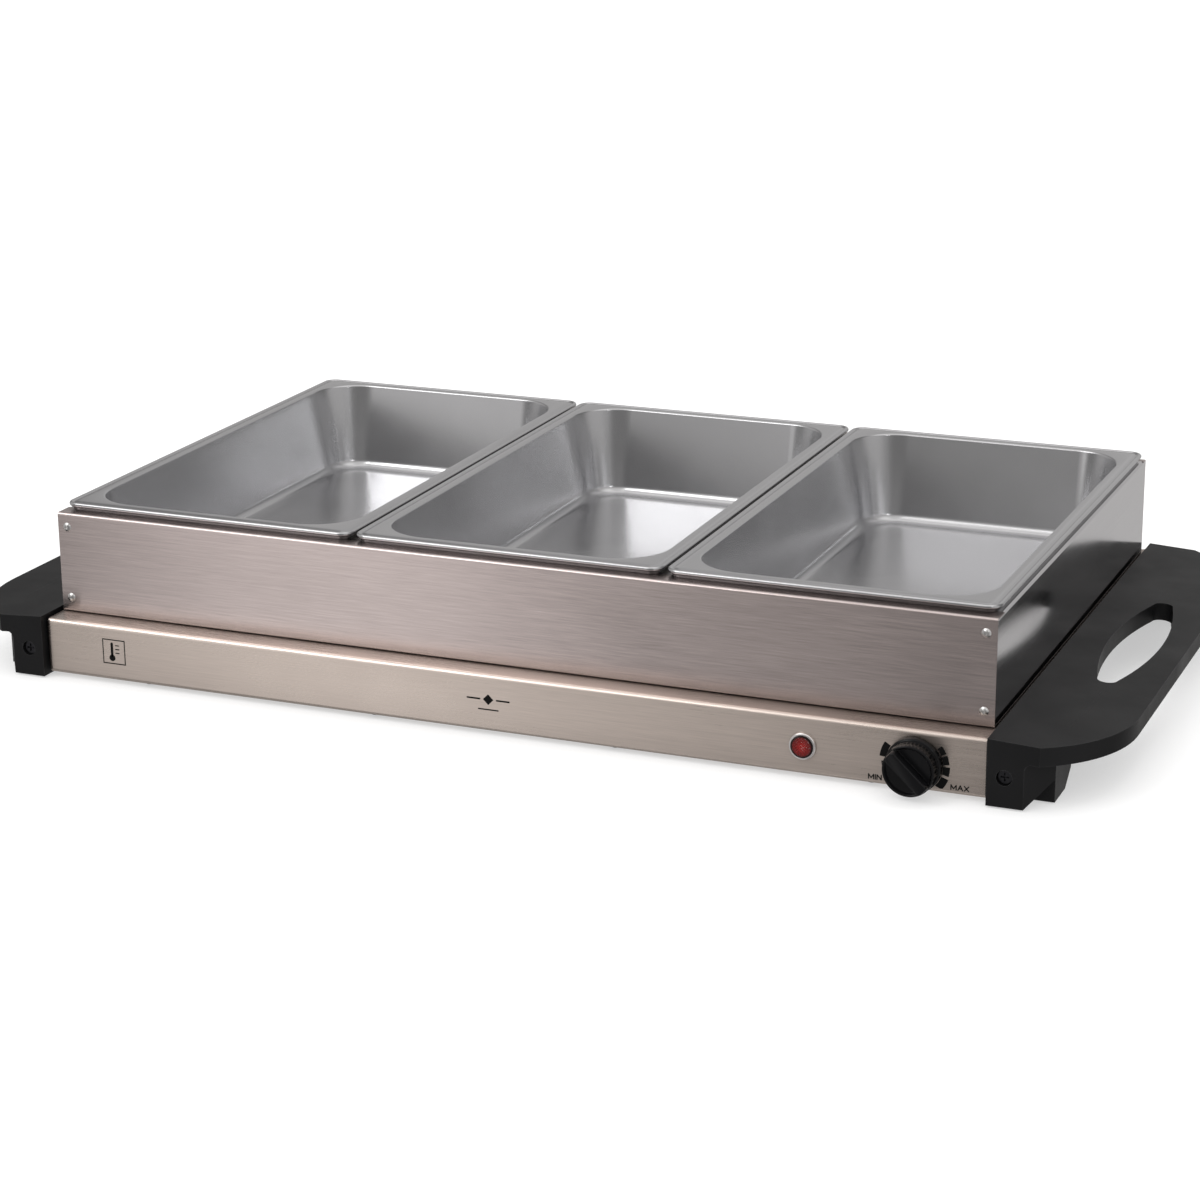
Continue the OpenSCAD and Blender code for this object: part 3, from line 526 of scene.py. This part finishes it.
def pan_profile(half_w, half_l, top, bottom, rest):
    """Loops (corner centre x, y, corner radius, z) in millimetres, from the
    floor's upper face over the rim and back under to its lower face. The lip
    reaches down to rest, the frame's top."""
    wall = (half_w - PAN_RIM - MOUTH_CORNER, half_l - PAN_RIM - MOUTH_CORNER)
    rim = (half_w - RIM_CORNER, half_l - RIM_CORNER)
    floor = bottom + PAN_T
    lean = math.degrees(math.atan(PAN_TAPER / (top - floor - FLOOR_R)))
    mouth_c = (MOUTH_CORNER + EDGE_R, top - EDGE_R)
    mouth_end = arc(mouth_c, EDGE_R, 180 - lean, 180 - lean, 1)[0]
    low_z = floor + FLOOR_R
    low_end_z = low_z - FLOOR_R * math.sin(math.radians(lean))
    low_r = mouth_end[0] - (mouth_end[1] - low_end_z) * math.tan(math.radians(lean))
    low_c = (low_r - FLOOR_R * math.cos(math.radians(lean)), low_z)
    crown = [(low_c[0] - d, floor + FLOOR_CROWN * (1 - math.cos(math.pi * d / CROWN_W)) / 2)
             for d in (CROWN_W, 9, 6, 3, 1)]
    inner = arc(low_c, FLOOR_R, -90, -lean, BEND_STEPS)
    inner += arc(mouth_c, EDGE_R, 180 - lean, 90, BEND_STEPS)
    bead_r, bead_z = bead = (RIM_CORNER - BEAD_R, top - BEAD_R)
    shelf = top - RIM_STEP
    upper = [(bead_r - 4.6, top - 0.1), (bead_r - 2.5, top - 0.3), (bead_r - 1.8, shelf),
             (bead_r - 1.25, shelf)] + arc(bead, BEAD_R, 130, -90, BEAD_STEPS)
    lip = RIM_CORNER - LIP_IN
    under = [(lip + 0.5, bead_z - BEAD_R), (lip, bead_z - BEAD_R - 0.5), (lip, rest + 0.3),
             (lip - 0.25, rest), (lip - 0.65, rest), (lip - PAN_T, rest + 0.3),
             (lip - PAN_T, top - PAN_T - 0.6)]
    outer = arc(mouth_c, EDGE_R - PAN_T, 90, 180 - lean, BEND_STEPS)
    outer += arc(low_c, FLOOR_R + PAN_T, -lean, -90, BEND_STEPS)
    loops = [(*wall, r, z) for r, z in crown + inner]
    loops += [(*rim, r, z) for r, z in upper + under]
    loops += [(*wall, r, z) for r, z in outer]
    loops += [(*wall, low_c[0] - 11, bottom)]
    return loops


def make_pan(node):
    """One drawn shell, in place of its CAD node."""
    low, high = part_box(node)
    middle = (low + high) / 2
    half_w, half_l = ((high.x - low.x) / 2 / MM, (high.y - low.y) / 2 / MM)
    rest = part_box("frame_front")[1].z / MM
    loops = []
    for cx, cy, r, z in pan_profile(half_w, half_l, high.z / MM, low.z / MM, rest):
        outline = round_corners(cx, cy, r, r, CORNER_STEPS)
        loops.append([(middle.x + x * MM, middle.y + y * MM, z * MM) for x, y in outline])
    vertices, faces = join_loops(loops)
    mesh = mesh_from(node + "_shell", vertices, faces, 50)
    add_object(node + "_shell", mesh, materials["pan_steel"], node, (node,))


# --------------------------------------------------------------------- knob

# In millimetres and degrees; z is how far something stands out of the fascia
SKIRT_R = 14.5
BARREL_TOP_R = 13.4
KNOB_FACE = 12.6       # z of the barrel's edge
KNOB_OUT = 17.0        # z of the grip's top
DISH = 1.4             # how deep the face lies inside its edge
FLUTES = 44
FLUTE_DEPTH = 0.22
FLUTE_STEPS = 6        # points across one flute
GRIP_TILT = 47.0
GRIP_HALF_W = 3.5
GRIP_HALF_L = 13.0
GRIP_CORNER = 2.0
GRIP_EDGE = 0.9        # rounding of the grip's top edge


def turned_knob():
    """Skirt, fluted barrel and dished face."""
    face = KNOB_FACE - DISH
    edge = (BARREL_TOP_R - 0.6, KNOB_FACE - 0.7)
    # Radius, z, and 1 where the flutes are
    rings = [(8.4, 0.8, 0), (SKIRT_R - 0.3, 0.8, 0), (SKIRT_R, 1.1, 0)]
    rings += [(r, z, 0) for r, z in arc((SKIRT_R - 1.5, 3.0), 1.5, 0, 80, 7)]
    rings += [(SKIRT_R - 1.3, 4.7, 0), (SKIRT_R - 1.45, 5.0, 0), (SKIRT_R - 1.3, 5.4, 0),
              (SKIRT_R - 0.8, 6.0, 1), (BARREL_TOP_R + 0.15, KNOB_FACE - 1.4, 1)]
    rings += [(r, z, 0) for r, z in arc(edge, 0.7, 12, 150, 8)]
    rings += [(BARREL_TOP_R - 1.6, face + 0.5, 0), (BARREL_TOP_R - 2.1, face, 0),
              (5.0, face - 0.1, 0), (1.0, face - 0.1, 0)]
    steps = FLUTES * FLUTE_STEPS
    loops = []
    for r, z, fluted in rings:
        loop = []
        for i in range(steps):
            a = 2 * math.pi * i / steps
            dip = fluted * FLUTE_DEPTH * (0.5 - 0.5 * math.cos(FLUTES * a))
            loop.append(((r - dip) * math.cos(a), (r - dip) * math.sin(a), z))
        loops.append(loop)
    vertices, faces = join_loops(loops)
    return mesh_from("knob_turning", vertices, faces, 40)


def grip_bar():
    """Bar across the face, with upright sides and a rounded top edge."""
    # How far in from the bar's sides and ends, and z
    levels = [(0.0, 0.0, KNOB_FACE - DISH - 1.0), (0.0, 0.0, KNOB_FACE),
              (0.15, 0.25, KNOB_OUT - 1.2)]
    for t in (math.radians(d) for d in (0, 20, 40, 60, 78)):
        inset = GRIP_EDGE - GRIP_EDGE * math.cos(t)
        levels.append((0.25 + inset, 0.35 + inset, KNOB_OUT - GRIP_EDGE + GRIP_EDGE * math.sin(t)))
    loops = []
    for inset_w, inset_l, z in levels:
        outline = round_corners(GRIP_HALF_W - GRIP_CORNER, GRIP_HALF_L - GRIP_CORNER,
                                GRIP_CORNER - inset_w, GRIP_CORNER - inset_l, 8)
        loops.append([(x, y, z) for x, y in outline])
    vertices, faces = join_loops(loops)
    turn = Matrix.Rotation(math.radians(GRIP_TILT), 4, "Z")
    return mesh_from("knob_grip", [turn @ Vector(v) for v in vertices], faces, 40)


def make_knob():
    """The turned body and the grip as one moulding, set on the dial."""
    mesh = union("knob_moulding", [turned_knob(), grip_bar()])
    for vertex in mesh.vertices:
        vertex.co = out_of_front(dial, vertex.co * MM)
    shade(mesh, 38)
    add_object("knob_moulding", mesh, materials["knob_plastic"], "knob", ("knob",))


# --------------------------------------------------------------------- lamp

# In millimetres; z is how far something stands out of the fascia
LENS_R = 6.05
STEM_R = 5.2
STEM_IN = 5.0          # how far the stem reaches into the base
BEZEL_FACE = 1.6       # z of the bezel's face
LENS_GAP = 0.05        # between that face and the lens
FACET = 1.75           # spacing of the pyramids
FACET_H = 0.9
LENS_TOP = 2.75        # z of the dome's middle
LENS_FALL = 0.02       # how fast the dome falls off from there
LENS_RINGS = 34
LENS_STEPS = 132


def lens_height(x, y):
    """Dome with a grid of small pyramids on it that fades out at its edge."""
    dome = LENS_TOP - (x * x + y * y) * LENS_FALL
    u = abs(((x + y) / FACET) % 1.0 - 0.5)
    v = abs(((x - y) / FACET) % 1.0 - 0.5)
    fade = min(1.0, max(0.0, (LENS_R - 0.7 - math.hypot(x, y)) / 0.4))
    return dome + fade * FACET_H * (min(0.5 - u, 0.5 - v) - 0.2)


def make_lens():
    """Stem through the bezel and a faceted cap that lies on the bezel's face."""
    back = BEZEL_FACE + LENS_GAP
    sides = ((STEM_R, -STEM_IN), (STEM_R, back), (LENS_R, back), (LENS_R, BEZEL_FACE + 0.3))
    loops = [[(x, y, z) for x, y in circle(r, LENS_STEPS)] for r, z in sides]
    for k in range(LENS_RINGS, 0, -1):
        outline = circle((LENS_R - 0.12) * k / LENS_RINGS, LENS_STEPS)
        loops.append([(x, y, lens_height(x, y)) for x, y in outline])
    vertices, faces = join_loops(loops)
    placed = [out_of_front(lamp, Vector(v) * MM) for v in vertices]
    mesh = mesh_from("lamp_lens_moulding", placed, faces, 12)
    add_object("lamp_lens_moulding", mesh, materials["lamp_red"], "base",
               ("lamp_lens",))


# -------------------------------------------------------------------- print

PRINT_T = 0.05 * MM    # how far the ink stands out of the fascia
BURY = 0.05 * MM       # and how far it reaches in, so that no gap shows


def printed(name, outlines):
    """Closed flat shapes, each a list of (x, z), printed on the front fascia."""
    vertices = []
    faces = []
    for outline in outlines:
        start = len(vertices)
        count = len(outline)
        for out in (-BURY, PRINT_T):
            vertices += [(x, base_low.y - out, z) for x, z in outline]
        faces.append(tuple(range(start + count, start + 2 * count)))
        faces.append(tuple(reversed(range(start, start + count))))
        for i in range(count):
            a, b = start + i, start + (i + 1) % count
            faces.append((a, b, b + count, a + count))
    mesh = mesh_from(name, vertices, faces, 30)
    add_object(name, mesh, print_black, "base")


def on_fascia(z):
    """A height, kept on the fascia's flat part."""
    return min(print_high, max(print_low, z))


# About the dial, clockwise from its top: start and end in degrees, inner and
# outer radius in millimetres
DIAL_MARKS = (
    (51, 66, 14.9, 17.7), (69, 85, 14.7, 17.9), (89, 105, 14.7, 18.2), (110, 134, 14.7, 18.6),
    (-84, -58, 14.9, 18.5), (-106, -92, 14.9, 17.4), (-128, -112, 14.9, 17.0),
)


def ring_mark(start_deg, end_deg, inner, outer):
    """Part of a ring about the dial."""
    steps = max(4, int((end_deg - start_deg) / 3))
    outline = []
    for radius, order in ((outer, range(steps + 1)), (inner, range(steps, -1, -1))):
        for i in order:
            a = math.radians(start_deg + (end_deg - start_deg) * i / steps)
            outline.append((dial.x + radius * MM * math.sin(a),
                            on_fascia(dial.z + radius * MM * math.cos(a))))
    return outline


# Each letter's width and strokes, in a box one unit high
LETTERS = {
    "A": (1.0, [[(0, 0), (0.5, 1), (1.0, 0)], [(0.18, 0.35), (0.82, 0.35)]]),
    "I": (0.0, [[(0, 0), (0, 1)]]),
    "M": (1.1, [[(0, 0), (0, 1), (0.55, 0.2), (1.1, 1), (1.1, 0)]]),
    "N": (0.9, [[(0, 0), (0, 1), (0.9, 0), (0.9, 1)]]),
    "X": (0.9, [[(0, 0), (0.9, 1)], [(0, 1), (0.9, 0)]]),
}
LETTER_GAP = 0.36      # in the same unit
STROKE_W = 0.6 * MM
WORD_H = 2.45 * MM
WORD_Z = print_low + 1.6 * MM
WORDS = (("MIN", dial.x - 20.6 * MM), ("MAX", dial.x + 23.5 * MM))


def stroke(start, end):
    """Outline of a straight stroke with round ends."""
    heading = math.degrees(math.atan2(end[1] - start[1], end[0] - start[0]))
    outline = arc(end, STROKE_W / 2, heading - 90, heading + 90, 5)
    return outline + arc(start, STROKE_W / 2, heading + 90, heading + 270, 5)


def make_word(word, middle):
    """A word printed beside the dial."""
    widths = [LETTERS[letter][0] for letter in word]
    left = middle - WORD_H * (sum(widths) + LETTER_GAP * (len(word) - 1)) / 2
    shapes = []
    for letter, width in zip(word, widths):
        for line in LETTERS[letter][1]:
            points = [(left + u * WORD_H, WORD_Z + (v - 0.5) * WORD_H) for u, v in line]
            shapes += [stroke(a, b) for a, b in zip(points, points[1:])]
        left += (width + LETTER_GAP) * WORD_H
    printed("word_" + word.lower(), shapes)


def stadium(x, z, half_w, half_h):
    """A bar with round ends, or a disc, about (x, z)."""
    r = min(half_w, half_h) - 0.01 * MM
    return [(x + u, z + v) for u, v in round_corners(half_w - r, half_h - r, r, r, 6)]


def frame_outline(x, z, half, line):
    """A square frame with mitred corners, as four bars."""
    corners = [(-half, half), (half, half), (half - line, half - line), (-half + line, half - line)]
    bars = []
    for turn in range(4):
        c, s = math.cos(math.pi / 2 * turn), math.sin(math.pi / 2 * turn)
        bars.append([(x + u * c - v * s, z + u * s + v * c) for u, v in corners])
    return bars


def make_pictogram():
    """A thermometer in a square, where a notice would stand."""
    x = base_low.x + 42 * MM
    z = (print_low + print_high) / 2 + 1 * MM
    tube_x = x - 1.2 * MM
    shapes = frame_outline(x, z, 7.2 * MM, 0.6 * MM)
    shapes.append(stadium(tube_x, z + 1.2 * MM, 0.8 * MM, 4.2 * MM))
    shapes.append(stadium(tube_x, z - 3.6 * MM, 1.9 * MM, 1.9 * MM))
    for k in range(3):
        shapes.append(stadium(x + 2.2 * MM, z + (k * 2.2 - 0.6) * MM, 1.3 * MM, 0.3 * MM))
    printed("heat_pictogram", shapes)


def make_emblem():
    """A plain lozenge between two bars, with a third bar under it, in the
    middle of the fascia."""
    z = (print_low + print_high) / 2 + 2 * MM
    shapes = [[(0, z + 3 * MM), (-3 * MM, z), (0, z - 3 * MM), (3 * MM, z)]]
    for side in (-1, 1):
        shapes.append(stadium(side * 8.5 * MM, z, 4 * MM, 0.45 * MM))
    shapes.append(stadium(0, z - 5.6 * MM, 6 * MM, 0.35 * MM))
    printed("plain_emblem", shapes)


# -------------------------------------------------------------------- stage

CAMERA_AT = Vector((626.7, -1525.1, 544.5)) * MM
CAMERA_YAW = 22.634
CAMERA_PITCH = 17.541
CAMERA_ROLL = -0.494
CAMERA_LENS = 89.52
SENSOR = 36.0

FLOOR_HALF = 20.0
FLOOR_GREY = 0.52
FLOOR_GLOW = 0.5       # keeps the paper nearly white around the shadow
WORLD_LEVEL = 1.12

# What the metal reflects: a dim room with bright screens. A screen is an upright
# band (True) or a round patch (False), the azimuth and elevation of its middle,
# how many degrees from there it has its full strength, how many until it is
# gone, and that strength
DOME_R = 12.0
ROOM_LEVEL = 0.22
SCREENS = (
    (True, 28.5, 0, 2.5, 6, 0.55),
    (True, 24, 0, 3, 12, 0.2),
    (False, 0, 75, 20, 55, 0.62),
    (True, 192, 0, 6, 24, 0.35),
    (True, 160, 0, 8, 22, 0.28),
    (True, 90, 0, 10, 40, 0.3),
    (True, -75, 0, 10, 40, 0.35),
)


def make_camera():
    """The photo's camera: its yaw, pitch and roll turn it in that order."""
    yaw, pitch, roll = (math.radians(a) for a in (CAMERA_YAW, CAMERA_PITCH, CAMERA_ROLL))
    ahead = Vector((-math.sin(yaw) * math.cos(pitch), math.cos(yaw) * math.cos(pitch),
                    -math.sin(pitch)))
    right = Vector((math.cos(yaw), math.sin(yaw), 0))
    up = right.cross(ahead)
    side = right * math.cos(roll) + up * math.sin(roll)
    top = -right * math.sin(roll) + up * math.cos(roll)
    data = bpy.data.cameras.new("camera")
    data.lens = CAMERA_LENS
    data.sensor_width = SENSOR
    data.clip_start = 0.05
    data.clip_end = 60
    camera = bpy.data.objects.new("camera", data)
    turn = Matrix((side, top, -ahead)).transposed().to_4x4()
    camera.matrix_world = Matrix.Translation(CAMERA_AT) @ turn
    scene.collection.objects.link(camera)
    scene.camera = camera


def make_floor():
    """Pale paper that the metal doesn't reflect."""
    corners = [(x * FLOOR_HALF, y * FLOOR_HALF, 0) for x, y in ((-1, -1), (1, -1), (1, 1), (-1, 1))]
    mesh = mesh_from("floor", corners, [(0, 1, 2, 3)], 35)
    s = Surface("floor_paper")
    cloud = s.noise((0.8, 0.8, 0.8), 2.0)
    s.colour(s.tint((FLOOR_GREY, FLOOR_GREY, FLOOR_GREY), s.remap(cloud, 0.3, 0.7, 0.99, 1.01)))
    s.set(Roughness=0.9, Specular_IOR_Level=0.1, Emission_Color=(1, 1, 1, 1),
          Emission_Strength=FLOOR_GLOW)
    mesh.materials.append(s.material)
    floor = bpy.data.objects.new("floor", mesh)
    scene.collection.objects.link(floor)
    floor.visible_glossy = False


def compass(azimuth_deg, elevation_deg):
    """Direction; the azimuth is counted from the front towards the left."""
    a = math.radians(azimuth_deg)
    e = math.radians(elevation_deg)
    return Vector((-math.sin(a) * math.cos(e), -math.cos(a) * math.cos(e), math.sin(e)))


def make_reflections():
    """A dome that only reflections see: bright screens between dark ones."""
    bm = bmesh.new()
    bmesh.ops.create_uvsphere(bm, u_segments=48, v_segments=24, radius=DOME_R)
    mesh = bpy.data.meshes.new("reflected_room")
    bm.to_mesh(mesh)
    bm.free()
    s = Surface("reflected_room")
    place = s.add("ShaderNodeVectorMath", operation="NORMALIZE")
    s.link(s.place, place.inputs[0])
    flat = s.add("ShaderNodeVectorMath", operation="MULTIPLY")
    s.link(s.place, flat.inputs[0])
    flat.inputs[1].default_value = (1, 1, 0)
    level = s.add("ShaderNodeVectorMath", operation="NORMALIZE")
    s.link(flat.outputs[0], level.inputs[0])
    total = ROOM_LEVEL
    for upright, azimuth, elevation, near, far, strength in SCREENS:
        dot = s.dot((level if upright else place).outputs[0], compass(azimuth, elevation))
        glow = s.remap(dot, math.cos(math.radians(far)), math.cos(math.radians(near)),
                       0.0, strength, interpolation_type="SMOOTHSTEP")
        total = s.maths("ADD", total, glow)
    emission = s.add("ShaderNodeEmission")
    emission.inputs["Color"].default_value = (1.0, 0.985, 0.975, 1)
    s.link(total, emission.inputs["Strength"])
    output = s.tree.nodes["Material Output"]
    s.link(emission.outputs[0], output.inputs["Surface"])
    s.tree.nodes.remove(s.shader)
    mesh.materials.append(s.material)
    dome = bpy.data.objects.new("reflected_room", mesh)
    scene.collection.objects.link(dome)
    dome.visible_camera = False
    dome.visible_diffuse = False
    dome.visible_shadow = False
    dome.visible_transmission = False
    dome.visible_volume_scatter = False


def area_light(name, at, towards, size, power):
    """A rectangular lamp at one point, aimed at another."""
    data = bpy.data.lights.new(name, "AREA")
    data.shape = "RECTANGLE"
    data.size, data.size_y = size
    data.energy = power
    light = bpy.data.objects.new(name, data)
    aim = (Vector(towards) - Vector(at)).normalized()
    light.matrix_world = Matrix.Translation(at) @ aim.to_track_quat("-Z", "Y").to_matrix().to_4x4()
    scene.collection.objects.link(light)
    return light


def make_light():
    """Even light from all round, a large lamp at the front left, a soft one
    above and a small one for the front right."""
    world = bpy.data.worlds.new("studio")
    world.use_nodes = True
    back = world.node_tree.nodes["Background"]
    back.inputs["Color"].default_value = (1.0, 0.995, 0.99, 1)
    back.inputs["Strength"].default_value = WORLD_LEVEL
    world.cycles_visibility.glossy = False  # the dome stands for it there
    scene.world = world
    area_light("key", (-1.6, -1.8, 2.2), (0, 0, 0.05), (1.6, 1.2), 18)
    top = area_light("top", (0.2, 0.6, 2.4), (0, 0, 0), (2.0, 1.2), 10)
    top.visible_glossy = False
    area_light("glint", (1.9, -2.2, 1.3), (0.234, -0.18, 0.016), (0.12, 0.3), 2.5)
    scene.view_settings.view_transform = "Standard"
    scene.view_settings.look = "None"


# --------------------------------------------------------------------- make

make_camera()
make_light()
make_floor()
make_reflections()
paint_frame()
for handle in ("left_handle", "right_handle"):
    soften(handle, 1.1 * MM, 3)
for sheet_part in ("base_shell", "frame_front", "frame_rear", "frame_left", "frame_right"):
    soften(sheet_part, 0.22 * MM, 2)
for pan in ("pan_left", "pan_middle", "pan_right"):
    make_pan(pan)
make_knob()
make_lens()
printed("dial_marks", [ring_mark(*mark) for mark in DIAL_MARKS])
for word, middle in WORDS:
    make_word(word, middle)
make_pictogram()
make_emblem()
